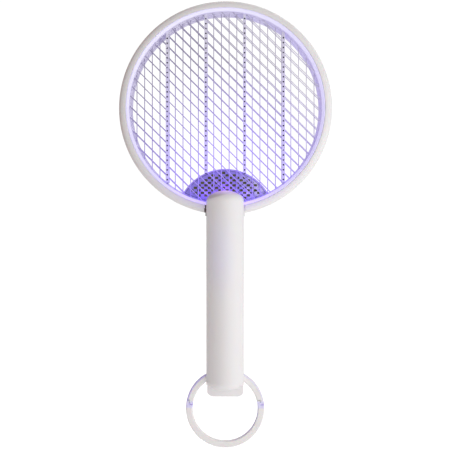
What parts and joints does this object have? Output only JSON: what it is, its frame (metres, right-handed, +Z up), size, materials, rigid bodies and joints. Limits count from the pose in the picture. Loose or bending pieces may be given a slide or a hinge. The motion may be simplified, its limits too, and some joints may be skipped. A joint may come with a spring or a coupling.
{
  "type": "electric fly swatter",
  "caption": "Folding electric fly swatter with a round layered net head, a violet lure lamp, a tube handle and a swing-out tail ring.",
  "frame": {"origin": "on the axis of the tube handle, at the middle of the grip", "axes": "+Z up along the handle to the head, +X to the right seen from the front, the front of the net faces -Y"},
  "size_m": [0.2118, 0.0415, 0.442],
  "materials": {
    "casing_white": "fine satin texture",
    "button_white": "satin",
    "ring_white": "fine satin texture",
    "insulator_lilac": "milky, lit violet by the lamp",
    "rib_plastic": "satin",
    "net_wire": "drawn wire",
    "lamp_violet": "satin, glowing",
    "led_lens": "clear violet",
    "circuit_board": "solder mask",
    "lamp_board_olive": "dark olive solder mask",
    "steel": "zinc plated",
    "brass": "plated",
    "cell_wrap": "shrink wrap",
    "inner_plastic": "moulded",
    "component_black": "moulded epoxy",
    "capacitor_film": "dipped epoxy",
    "transformer_tape": "tape over a ferrite core",
    "lead_red": "wire insulation",
    "light_pipe": "clear"
  },
  "bodies": {
    "handle": {"handle_front_shell": "casing_white", "handle_rear_shell": "casing_white", "handle_screws": "steel", "hinge_pin": "steel", "battery_cell": "cell_wrap", "battery_cradle": "inner_plastic", "battery_contacts": "brass", "battery_leads": "lead_red", "main_board": "circuit_board", "step_up_transformer": "transformer_tape", "storage_capacitor": "capacitor_film", "rectifier_diodes": "component_black", "power_transistor": "component_black", "trigger_switch": "inner_plastic", "mode_switch": "steel", "charge_socket": "steel", "status_light_pipe": "light_pipe", "contact_springs": "brass", "tail_yoke": "casing_white", "tail_pivot_pins": "steel"},
    "head": {"head_front_ring": "ring_white", "head_rear_ring": "ring_white", "front_bezel": "insulator_lilac", "front_grid": "net_wire", "front_spacer": "insulator_lilac", "high_voltage_grid": "net_wire", "rear_spacer": "insulator_lilac", "rear_grid": "net_wire", "rear_bezel": "insulator_lilac", "grid_ribs": "rib_plastic", "lamp_housing": "lamp_violet", "lamp_front_guard": "lamp_violet", "lamp_rear_guard": "lamp_violet", "lamp_board": "lamp_board_olive", "lamp_leds": "led_lens", "hinge_block": "ring_white", "hinge_block_screws": "steel", "contact_pads": "brass", "head_leads": "lead_red", "head_screws": "steel"},
    "trigger": {"trigger_button": "button_white", "switch_plunger": "component_black"},
    "slider": {"mode_slider": "button_white"},
    "loop": {"stand_loop": "casing_white"}
  },
  "joints": [
    {"name": "head_fold", "type": "hinge", "parent": "handle", "child": "head", "pos_m": [0, 0.0194, 0.076], "axis": [-1, 0, 0], "range_deg": [0, 180]},
    {"name": "stand_swing", "type": "hinge", "parent": "handle", "child": "loop", "pos_m": [0, 0.00245, -0.1074], "axis": [-1, 0, 0], "range_deg": [0, 90]},
    {"name": "trigger_press", "type": "slide", "parent": "handle", "child": "trigger", "axis": [0, -1, 0], "range_m": [0, 0.0012], "stiffness_N_per_m": 800, "springref_m": -0.001},
    {"name": "mode_slide", "type": "slide", "parent": "handle", "child": "slider", "axis": [0, 0, 1], "range_m": [0, 0.007]}
  ]
}
